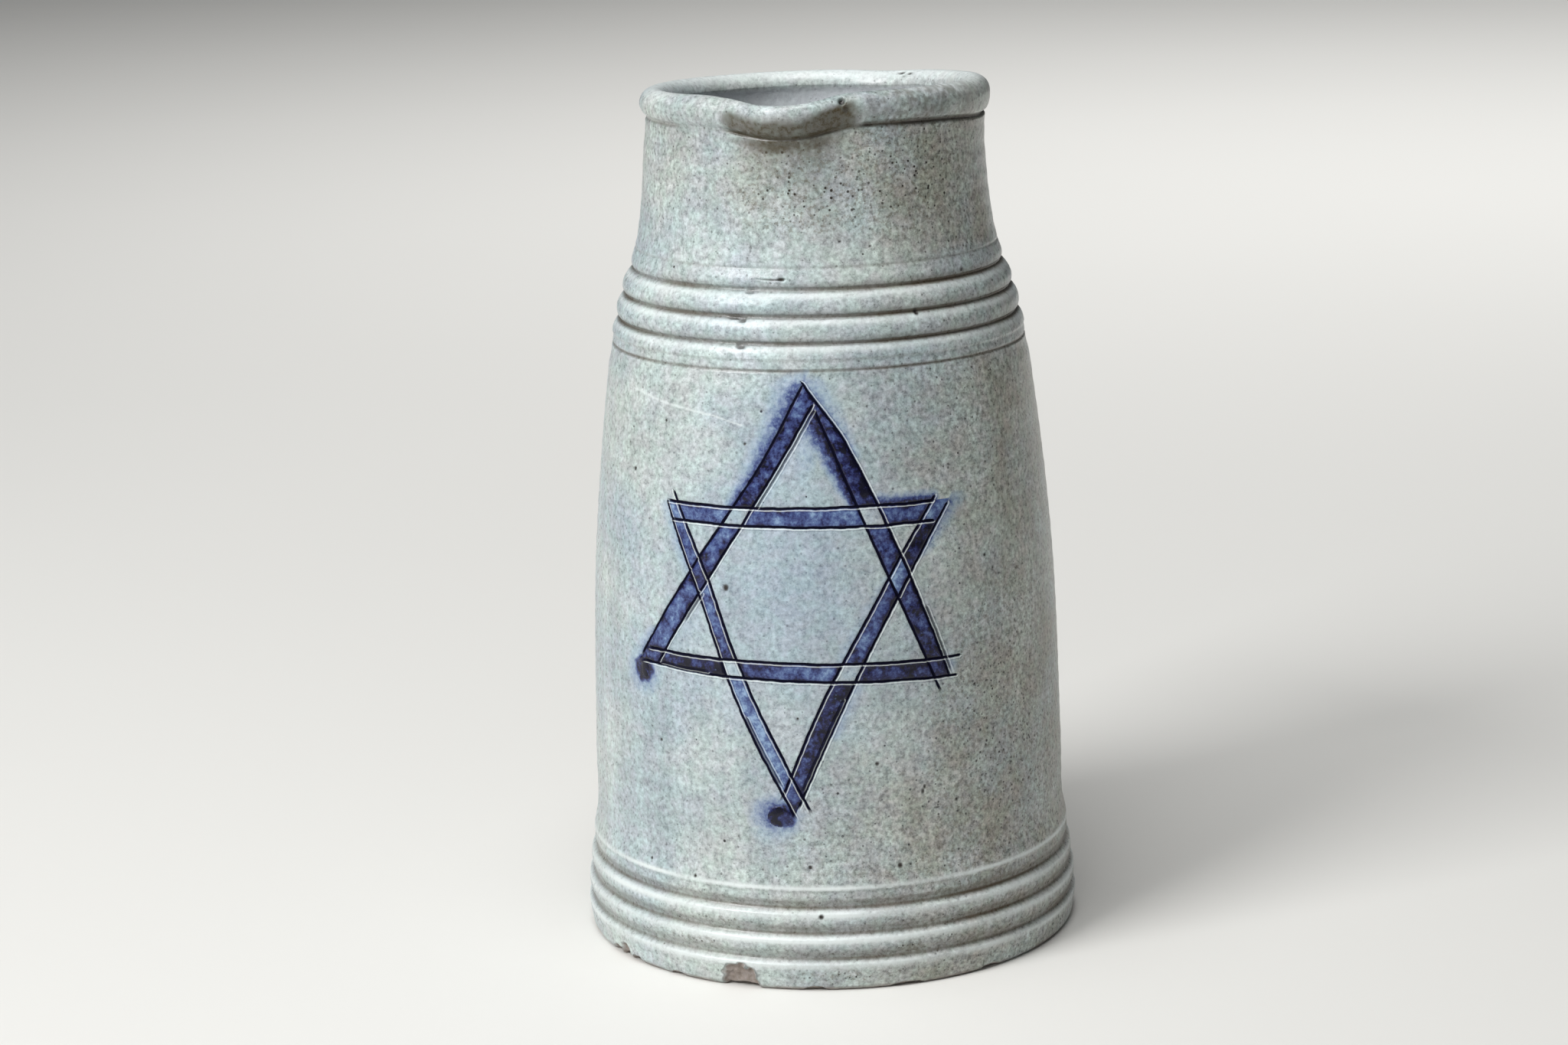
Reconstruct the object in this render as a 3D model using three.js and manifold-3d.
// Salt-glazed stoneware pitcher: a thrown body with turned grooves at foot and shoulder, a rolled
// rim pulled into a small pouring lip, a pulled strap handle luted on behind, and a six-pointed
// star of scored double lines whose bands are filled with cobalt smalt.
// Millimetres, +Z up, origin at the middle of the flat base, lip towards -Y, handle towards +Y.
import * as THREE from 'three';
import { mergeVertices } from 'three/addons/utils/BufferGeometryUtils.js';
import Module from 'manifold-3d';

// Thrown wall, outside: the foot with its grooved band, the belly, the ribbed shoulder, the neck
const bodyHeight = 225;
const footRadius = 65.2;
const footBevel = 1.2;
const bandRadius = 66.2;
const bandHeight = 8.6;
const bandCrestRadius = 64;
const bandCrestRise = 5.2;
const waistRadius = 62.9;
const waistRise = 6;
const bellyRadius = 62.7;
const bellyRise = 17;
const shoulderRadius = 54.9;
const shoulderDepth = 67;
const ribRadius = 51.9;
const ribRise = 14;
const throatRadius = 47;
const throatRise = 14;
const neckRadius = 44.6;
const neckDepth = 17;
const rimFootFlare = 0.4;

// Hollow of the vessel
const wallThickness = 6;
const floorThickness = 7;
const floorCorner = 13;

// Turned grooves round the foot and the shoulder
const footGrooves = 3;
const footGroovePitch = 6.6;
const footGrooveDepth = 0.9;
const shoulderGrooves = 3;
const shoulderGroovePitch = 6.5;
const shoulderGrooveDepth = 1;
const grooveWidth = 2.6;

// Rolled rim and the pouring lip pulled from it
const rimRadius = 46.4;
const rimWidth = 8;
const rimRoll = 8;
const lipReach = 6.5;
const lipDrop = 1.2;
const lipDepth = 16;
const lipHalfAngle = 22;

// Pulled strap handle
const handleWidth = 30;
const handleTipWidth = 24;
const handleThickness = 9;
const handleTipThickness = 8;
const handleRootDepth = 24;
const handleRootTilt = 25;
const handleRootPull = 62;
const handleFootDepth = 117;
const handleFootTilt = 52;
const handleFootPull = 50;
const lutingSpread = 5;
const lutingLength = 8;
const lutingFeather = 1.2;
const strapSquareness = 0.7;

// Cobalt smalt in the scored star
const starHeight = 103;
const starArc = 5;
const starAbove = 56;
const starBelow = 62;
const starSide = 50;
const legSlant = 1.15;
const scoreWidth = 1.1;
const scoreMargin = 0.2;
const smaltThickness = 0.4;
const dripThickness = 0.8;
const leftDripWidth = 2.6;
const leftDripLength = 4.2;
const bottomDripWidth = 6;
const bottomDripLength = 4.6;

// Fit and fineness
const seatGap = 0.3;
const roundSegments = 64;

const stoneware = new THREE.MeshStandardMaterial({ color: '#b9beb9', roughness: 0.42, metalness: 0 });
const lutingClay = new THREE.MeshStandardMaterial({ color: '#b3b5ae', roughness: 0.45, metalness: 0 });
const smalt = new THREE.MeshStandardMaterial({ color: '#2b2f78', roughness: 0.3, metalness: 0 });
const paleSmalt = new THREE.MeshStandardMaterial({ color: '#8a9cc4', roughness: 0.35, metalness: 0 });

const wasm = await Module();
wasm.setup();
const pitcher = new THREE.Group();

// A smooth curve through [place, value] stations in rising order of place
function through(stations) {
  const last = stations.length - 1;
  const slopes = stations.map((station, i) => {
    const [x0, y0] = stations[Math.max(i - 1, 0)];
    const [x1, y1] = stations[Math.min(i + 1, last)];
    return (y1 - y0) / (x1 - x0);
  });
  return (x) => {
    let i = 0;
    while (i < last - 1 && x > stations[i + 1][0]) i += 1;
    const [x0, y0] = stations[i];
    const [x1, y1] = stations[i + 1];
    const span = x1 - x0;
    const t = (x - x0) / span;
    const ease = t * t * (3 - 2 * t);
    const bend = t * (1 - t) * span;
    return y0 + (y1 - y0) * ease + bend * ((1 - t) * slopes[i] - t * slopes[i + 1]);
  };
}

// Heights of the wall's stations. The belly falls away from its widest place as a parabola, so
// one station at half way carries it.
const crestHeight = bandHeight + (footGrooves - 1) * footGroovePitch + bandCrestRise;
const waistHeight = crestHeight + waistRise;
const bellyHeight = waistHeight + bellyRise;
const shoulderHeight = bodyHeight - shoulderDepth;
const bellyMiddle = [(bellyHeight + shoulderHeight) / 2, bellyRadius - (bellyRadius - shoulderRadius) / 4];
const ribHeight = shoulderHeight + ribRise;
const throatHeight = ribHeight + throatRise;
const neckHeight = bodyHeight - neckDepth;
const rimFoot = bodyHeight - rimRoll;
const wallRadius = through([
  [0, footRadius],
  [bandHeight, bandRadius],
  [crestHeight, bandCrestRadius],
  [waistHeight, waistRadius],
  [bellyHeight, bellyRadius],
  bellyMiddle,
  [shoulderHeight, shoulderRadius],
  [ribHeight, ribRadius],
  [throatHeight, throatRadius],
  [neckHeight, neckRadius],
  [rimFoot, neckRadius + rimFootFlare],
]);

function evenly(from, to, steps) {
  return Array.from({ length: steps + 1 }, (unused, i) => from + ((to - from) * i) / steps);
}

// One turned groove: its lower edge, its bottom and its upper edge
function groove(height, depth) {
  const half = grooveWidth / 2;
  return [[height - half, 0], [height, depth], [height + half, 0]];
}

// Outside of the wall from the table to the top of the rim, as points of radius and height
function outside(grow) {
  const cuts = [];
  for (let i = 0; i < footGrooves; i += 1) {
    cuts.push(...groove(bandHeight + i * footGroovePitch, footGrooveDepth));
  }
  for (let i = 0; i < shoulderGrooves; i += 1) {
    const place = ribHeight + (i - (shoulderGrooves - 1) / 2) * shoulderGroovePitch;
    cuts.push(...groove(place, shoulderGrooveDepth));
  }
  const smooth = [
    bandHeight / 2, crestHeight, (crestHeight + waistHeight) / 2,
    ...evenly(waistHeight, bellyHeight, 3),
    ...evenly(bellyHeight, shoulderHeight, 4).slice(1),
    ...evenly(throatHeight, rimFoot, 6),
  ];
  const heights = [...cuts, ...smooth.map((height) => [height, 0])];
  heights.sort((a, b) => a[0] - b[0]);
  const wall = heights.map(([height, cut]) => new THREE.Vector2(wallRadius(height) - cut + grow, height));
  return [
    new THREE.Vector2(footRadius - footBevel + grow, 0),
    new THREE.Vector2(footRadius + grow, footBevel),
    ...wall,
    ...rimArc(-60, 90, 5, grow),
  ];
}

// Part of the rolled rim's round, from outside over the top, by degrees from level
function rimArc(from, to, steps, grow) {
  return evenly(from, to, steps).map((degrees) => {
    const turn = THREE.MathUtils.degToRad(degrees);
    const radius = rimRadius - rimWidth / 2 + (rimWidth / 2 + grow) * Math.cos(turn);
    return new THREE.Vector2(radius, bodyHeight - rimRoll / 2 + (rimRoll / 2 + grow) * Math.sin(turn));
  });
}

// Inside of the wall from the rim down to the middle of the floor
function inside() {
  const cornerTop = floorThickness + floorCorner;
  const heights = [
    ...evenly(rimFoot, throatHeight, 3), (throatHeight + ribHeight) / 2, ribHeight,
    ...evenly(shoulderHeight, bellyHeight, 3), cornerTop,
  ];
  const cornerRadius = wallRadius(waistHeight) - wallThickness - floorCorner;
  const wall = heights.map((height) => {
    const radius = wallRadius(Math.max(height, waistHeight)) - wallThickness;
    return new THREE.Vector2(radius, height);
  });
  const corner = evenly(22.5, 90, 3).map((degrees) => {
    const turn = THREE.MathUtils.degToRad(degrees);
    const radius = cornerRadius + floorCorner * Math.cos(turn);
    return new THREE.Vector2(radius, cornerTop - floorCorner * Math.sin(turn));
  });
  return [...wall, ...corner, new THREE.Vector2(0, floorThickness)];
}

// A lathe's solid, turned so that its axis is +Z
function turned(profile) {
  const geometry = new THREE.LatheGeometry(profile, roundSegments);
  return geometry.rotateX(Math.PI / 2);
}

// The lip: clay near the rim moves outwards and a little down, most on the centre line
function pullLip(geometry) {
  const places = geometry.attributes.position;
  const point = new THREE.Vector3();
  for (let i = 0; i < places.count; i += 1) {
    point.fromBufferAttribute(places, i);
    const aside = THREE.MathUtils.radToDeg(Math.atan2(point.x, -point.y)) / lipHalfAngle;
    const rise = (point.z - bodyHeight + lipDepth) / lipDepth;
    if (Math.abs(aside) < 1 && rise > 0 && rise <= 1) {
      const share = Math.cos((aside * Math.PI) / 2) ** 2;
      const radius = Math.hypot(point.x, point.y);
      const moved = (radius + lipReach * share * rise * rise) / radius;
      const drop = lipDrop * share * Math.sin(Math.PI * rise);
      places.setXYZ(i, point.x * moved, point.y * moved, point.z - drop);
    }
  }
  return geometry;
}

function addPiece(name, geometry, material) {
  const mesh = new THREE.Mesh(geometry, material);
  mesh.name = name;
  pitcher.add(mesh);
}

// A closed geometry as a solid for cutting, without the flat triangles at a lathe's poles
function toSolid(geometry) {
  const bare = geometry.clone();
  bare.deleteAttribute('normal');
  bare.deleteAttribute('uv');
  const merged = mergeVertices(bare, 1e-4);
  const corners = [];
  for (let i = 0; i < merged.index.count; i += 3) {
    const [a, b, c] = [0, 1, 2].map((k) => merged.index.getX(i + k));
    if (a !== b && b !== c && c !== a) corners.push(a, b, c);
  }
  const mesh = new wasm.Mesh({
    numProp: 3,
    vertProperties: new Float32Array(merged.attributes.position.array),
    triVerts: new Uint32Array(corners),
  });
  mesh.merge();
  return new wasm.Manifold(mesh);
}

function fromSolid(solid) {
  const { vertProperties, triVerts } = solid.getMesh();
  const geometry = new THREE.BufferGeometry();
  geometry.setAttribute('position', new THREE.BufferAttribute(vertProperties, 3));
  geometry.setIndex(new THREE.BufferAttribute(triVerts, 1));
  geometry.computeVertexNormals();
  return geometry;
}

// A closed skin over rows of points: each row is a closed ring, and the two ends are capped
function loft(rows) {
  const count = rows[0].length;
  const points = rows.flat();
  const faces = [];
  for (let row = 0; row < rows.length - 1; row += 1) {
    for (let i = 0; i < count; i += 1) {
      const a = row * count + i;
      const b = row * count + ((i + 1) % count);
      faces.push(a, b, b + count, a, b + count, a + count);
    }
  }
  const end = (rows.length - 1) * count;
  for (let i = 1; i < count - 1; i += 1) {
    faces.push(0, i + 1, i, end, end + i, end + i + 1);
  }
  const geometry = new THREE.BufferGeometry().setFromPoints(points);
  geometry.setIndex(faces);
  geometry.computeVertexNormals();
  return geometry;
}

// Centre line of the handle: an ear from the neck out, over and down to the belly, with a short
// straight run at each end that is buried in the wall before it is trimmed
function wallPlace(height) {
  return new THREE.Vector3(0, wallRadius(height), height);
}
function leaning(degrees, length) {
  const turn = THREE.MathUtils.degToRad(degrees);
  return new THREE.Vector3(0, length * Math.cos(turn), length * Math.sin(turn));
}
const handleRoot = wallPlace(bodyHeight - handleRootDepth);
const handleFoot = wallPlace(bodyHeight - handleFootDepth);
const buried = wallThickness + handleThickness;
const handleLine = new THREE.CurvePath();
handleLine.add(new THREE.LineCurve3(
  handleRoot.clone().sub(leaning(handleRootTilt, buried)), handleRoot));
handleLine.add(new THREE.CubicBezierCurve3(
  handleRoot,
  handleRoot.clone().add(leaning(handleRootTilt, handleRootPull)),
  handleFoot.clone().add(leaning(handleFootTilt, handleFootPull)),
  handleFoot));
handleLine.add(new THREE.LineCurve3(
  handleFoot, handleFoot.clone().sub(leaning(handleFootTilt, buried))));
const handleLength = handleLine.getLength();

// One cross-section of the strap: a flattened round, grown on every side by grow
function strapSection(along, grow) {
  const middle = handleLine.getPointAt(along / handleLength);
  const tangent = handleLine.getTangentAt(along / handleLength);
  const across = new THREE.Vector3(1, 0, 0);
  const outwards = new THREE.Vector3().crossVectors(tangent, across);
  const share = along / handleLength;
  const halfWidth = THREE.MathUtils.lerp(handleWidth, handleTipWidth, share) / 2 + grow;
  const halfThickness = THREE.MathUtils.lerp(handleThickness, handleTipThickness, share) / 2 + grow;
  return evenly(0, 2 * Math.PI, 16).slice(0, -1).map((turn) => {
    const [c, s] = [Math.cos(turn), Math.sin(turn)];
    return middle.clone()
      .addScaledVector(across, halfWidth * Math.sign(c) * Math.abs(c) ** strapSquareness)
      .addScaledVector(outwards, halfThickness * Math.sign(s) * Math.abs(s) ** strapSquareness);
  });
}

// The strap between two lengths along its centre line, grown by an amount given at each length
function strap(from, to, steps, growAt) {
  return loft(evenly(from, to, steps).map((along) => strapSection(along, growAt(along))));
}

// The wall's outer form, grown by the seat gap, trims what is luted onto it
const wallForm = toSolid(turned([
  new THREE.Vector2(0, 0),
  ...outside(seatGap),
  new THREE.Vector2(0, bodyHeight + seatGap),
]));

function addHandle() {
  const whole = toSolid(strap(0, handleLength, 28, () => 0));
  addPiece('handle', fromSolid(whole.subtract(wallForm)), stoneware);
}

// Clay worked round the strap's end at the wall: wide where it meets the wall and feathered out
// along the strap. The end is the length along the centre line where the strap enters the wall.
function addLuting(name, end, inwards) {
  const spread = (along) => {
    const out = (end - along) * inwards / lutingLength;
    const share = THREE.MathUtils.clamp(1 - out, 0, 1);
    return lutingFeather + (lutingSpread - lutingFeather) * share * share;
  };
  const [from, to] = [end - inwards * lutingLength, end + inwards * buried].sort((a, b) => a - b);
  const collar = toSolid(strap(from, to, 7, spread));
  const bore = toSolid(strap(0, handleLength, 28, () => seatGap));
  addPiece(name, fromSolid(collar.subtract(bore).subtract(wallForm)), lutingClay);
}

// A place on the belly by arc from the lip's centre line and height, lifted off the wall
function onWall(arc, height, lift) {
  const turn = arc / wallRadius(starHeight);
  const radius = wallRadius(height) + lift;
  return new THREE.Vector3(radius * Math.sin(turn), -radius * Math.cos(turn), height);
}

// Arcs and heights in the star, given from its middle in hundredths of its extents
function starPlace(share) {
  return (share / 100) * starSide;
}
function starRise(share) {
  return (share / 100) * (share > 0 ? starAbove : starBelow);
}

// Scored lines of the star. A leg gives its arc at each height, from the lowest up, and a bar gives
// its height at each arc, from the left.
function leg(...stations) {
  const arcAt = through(stations.map(([rise, place]) => [starRise(rise), starPlace(place)]));
  return { upright: true, at: (height) => starArc + arcAt(height - starHeight) };
}
function bar(...stations) {
  const heightAt = through(stations.map(([place, rise]) => [starPlace(place), starRise(rise)]));
  return { upright: false, at: (arc) => starHeight + heightAt(arc - starArc) };
}
const leftOuter = leg([-37.1, -99], [13.2, -56.4], [56.1, -22], [91.1, 0.8]);
const leftInner = leg([-37.1, -85.2], [8.6, -47.2], [49.5, -17], [85, 8.2]);
const rightInner = leg([-43.9, 71.6], [7.1, 45.2], [57.1, 22], [85.7, 8.2]);
const rightOuter = leg([-38.9, 77.4], [16.1, 52.4], [69.8, 24.2], [93.8, 3.4]);
const baseUpper = bar([-85.2, -27.7], [-33.6, -27.7], [82.4, -30]);
const baseLower = bar([-93.6, -33.5], [-4, -35.5], [80.2, -37.9]);
const topUpper = bar([-76.4, 38.8], [13.4, 39.3], [73.4, 38.9]);
const topLower = bar([-72.8, 30.9], [-4.2, 30.7], [70.6, 30]);
const fallLeftOuter = leg([-92.9, -5], [-47.9, -32.4], [-6.5, -52.4], [30.9, -72.8]);
const fallLeftInner = leg([-90.3, 2.6], [-36.3, -29], [8.2, -50.8], [43.4, -72.4]);
const fallRightOuter = leg([-90.3, -4.2], [-28.9, 31], [15.2, 62.4], [35.9, 79.6]);
const fallRightInner = leg([-85.3, -11.6], [-38.2, 14], [16.1, 52.4], [40, 72.4]);
// The right leg's two lines meet just under the tip, so its smalt starts lower, at a level line
const rightHead = bar([-80, 75], [80, 75]);

// Where two scored lines cross, each moved aside into the field that they bound
function crossing(one, oneShift, other, otherShift) {
  const [riser, riserShift, level, levelShift] = one.upright
    ? [one, oneShift, other, otherShift] : [other, otherShift, one, oneShift];
  let height = starHeight;
  let arc = starArc;
  if (!level.upright) {
    for (let i = 0; i < 12; i += 1) {
      arc = riser.at(height) + riserShift;
      height = level.at(arc) + levelShift;
    }
    return [arc, height];
  }
  const apart = (place) => riser.at(place) + riserShift - level.at(place) - levelShift;
  let [low, high] = [starHeight - starBelow, starHeight + starAbove];
  for (let i = 0; i < 30; i += 1) {
    height = (low + high) / 2;
    if (Math.sign(apart(height)) === Math.sign(apart(low))) low = height;
    else high = height;
  }
  return [riser.at(height) + riserShift, height];
}

// A field of smalt between two edge lines and two end lines. Each comes with the side of it that
// the field is on: -1 for smaller arcs or heights, 1 for larger ones. A leg leans, so a shift
// along the arc is longer there than the distance that it clears.
function field(name, material, edges, ends) {
  const aside = (line) => (scoreWidth / 2 + scoreMargin) * (line.upright ? legSlant : 1);
  const corner = ([edge, edgeSide], [end, endSide]) => (
    crossing(edge, edgeSide * aside(edge), end, endSide * aside(end)));
  const [start, finish] = ends;
  const quad = edges.map((edge) => [corner(edge, start), corner(edge, finish)]);
  const along = 5;
  const across = 2;
  const spot = (i, j, lift) => {
    const [near, far] = quad.map(([from, to], side) => {
      const [line, lineSide] = edges[side];
      const share = i / along;
      const arc = THREE.MathUtils.lerp(from[0], to[0], share);
      const height = THREE.MathUtils.lerp(from[1], to[1], share);
      return line.upright
        ? [line.at(height) + lineSide * aside(line), height]
        : [arc, line.at(arc) + lineSide * aside(line)];
    });
    const share = j / across;
    const arc = THREE.MathUtils.lerp(near[0], far[0], share);
    return onWall(arc, THREE.MathUtils.lerp(near[1], far[1], share), lift);
  };
  const rows = evenly(0, along, along).map((i) => [
    ...evenly(0, across, across).map((j) => spot(i, j, seatGap + smaltThickness)),
    ...evenly(across, 0, across).map((j) => spot(i, j, seatGap)),
  ]);
  const geometry = loft(rows);
  const solid = toSolid(geometry);
  addPiece(name, solid.volume() > 0 ? geometry : loft(rows.reverse()), material);
}

// A drop of smalt that ran from a corner of the star: a flat lens bent to the wall
function drip(name, place, rise, width, length) {
  const geometry = new THREE.SphereGeometry(0.5, 12, 6);
  const places = geometry.attributes.position;
  const point = new THREE.Vector3();
  for (let i = 0; i < places.count; i += 1) {
    point.fromBufferAttribute(places, i);
    const arc = starArc + starPlace(place) + width * point.x;
    const height = starHeight + starRise(rise) + length * point.z;
    const spot = onWall(arc, height, seatGap + dripThickness * (0.5 - point.y));
    places.setXYZ(i, spot.x, spot.y, spot.z);
  }
  addPiece(name, geometry, smalt);
}

const [less, more] = [-1, 1];
function addStar() {
  const left = [[leftOuter, more], [leftInner, less]];
  field('smalt_left_leg_top', smalt, left, [[rightOuter, less], [topUpper, more]]);
  field('smalt_left_leg_middle', smalt, left, [[topLower, less], [fallLeftInner, more]]);
  field('smalt_left_leg_foot', smalt, left, [[fallLeftOuter, less], [baseUpper, more]]);
  field('smalt_left_crossing', smalt, left, [[fallLeftInner, less], [fallLeftOuter, more]]);
  field('smalt_left_foot_corner', smalt, left, [[baseUpper, less], [baseLower, more]]);

  const right = [[rightInner, more], [rightOuter, less]];
  field('smalt_right_leg_top', smalt, right, [[rightHead, less], [topUpper, more]]);
  field('smalt_right_leg_middle', smalt, right, [[topLower, less], [fallRightInner, less]]);
  field('smalt_right_leg_foot', smalt, right, [[fallRightOuter, more], [baseUpper, more]]);
  field('smalt_right_crossing', paleSmalt, right, [[fallRightInner, more], [fallRightOuter, less]]);
  field('smalt_right_foot_corner', smalt, right, [[baseUpper, less], [baseLower, more]]);

  const base = [[baseUpper, less], [baseLower, more]];
  field('smalt_base_bar_left', smalt, base, [[leftInner, more], [fallLeftOuter, less]]);
  field('smalt_base_bar_middle', smalt, base, [[fallLeftInner, more], [fallRightInner, less]]);
  field('smalt_base_bar_right', smalt, base, [[fallRightOuter, more], [rightInner, less]]);

  const top = [[topUpper, less], [topLower, more]];
  field('smalt_top_bar_left', paleSmalt, top, [[fallLeftInner, more], [leftOuter, less]]);
  field('smalt_top_bar_middle', smalt, top, [[leftInner, more], [rightInner, less]]);
  field('smalt_top_bar_right', smalt, top, [[rightOuter, more], [fallRightInner, less]]);
  field('smalt_top_left_corner', paleSmalt, top, [[fallLeftOuter, more], [fallLeftInner, less]]);
  field('smalt_top_right_corner', paleSmalt, top, [[fallRightInner, more], [fallRightOuter, less]]);

  const fallLeft = [[fallLeftOuter, more], [fallLeftInner, less]];
  field('smalt_falling_left_leg_top', paleSmalt, fallLeft, [[topLower, less], [leftOuter, less]]);
  field('smalt_falling_left_leg_middle', smalt, fallLeft, [[leftInner, more], [baseUpper, more]]);
  field('smalt_falling_left_leg_foot', paleSmalt, fallLeft, [[baseLower, less], [fallRightInner, less]]);

  const fallRight = [[fallRightInner, more], [fallRightOuter, less]];
  field('smalt_falling_right_leg_top', smalt, fallRight, [[topLower, less], [rightOuter, more]]);
  field('smalt_falling_right_leg_middle', smalt, fallRight, [[rightInner, less], [baseUpper, more]]);
  field('smalt_falling_right_leg_foot', smalt, fallRight, [[baseLower, less], [fallLeftInner, more]]);
  field('smalt_bottom_corner', smalt, fallRight, [[fallLeftInner, less], [fallLeftOuter, more]]);

  drip('smalt_drip_left', -92, -37.1, leftDripWidth, leftDripLength);
  drip('smalt_drip_bottom', -12.8, -92.6, bottomDripWidth, bottomDripLength);
}

addPiece('body', pullLip(turned([
  new THREE.Vector2(0, 0),
  ...outside(0),
  ...rimArc(120, 180, 2, 0),
  ...inside(),
])), stoneware);
addHandle();
addLuting('handle_upper_luting', buried, -1);
addLuting('handle_lower_luting', handleLength - buried, 1);
addStar();

export default pitcher;
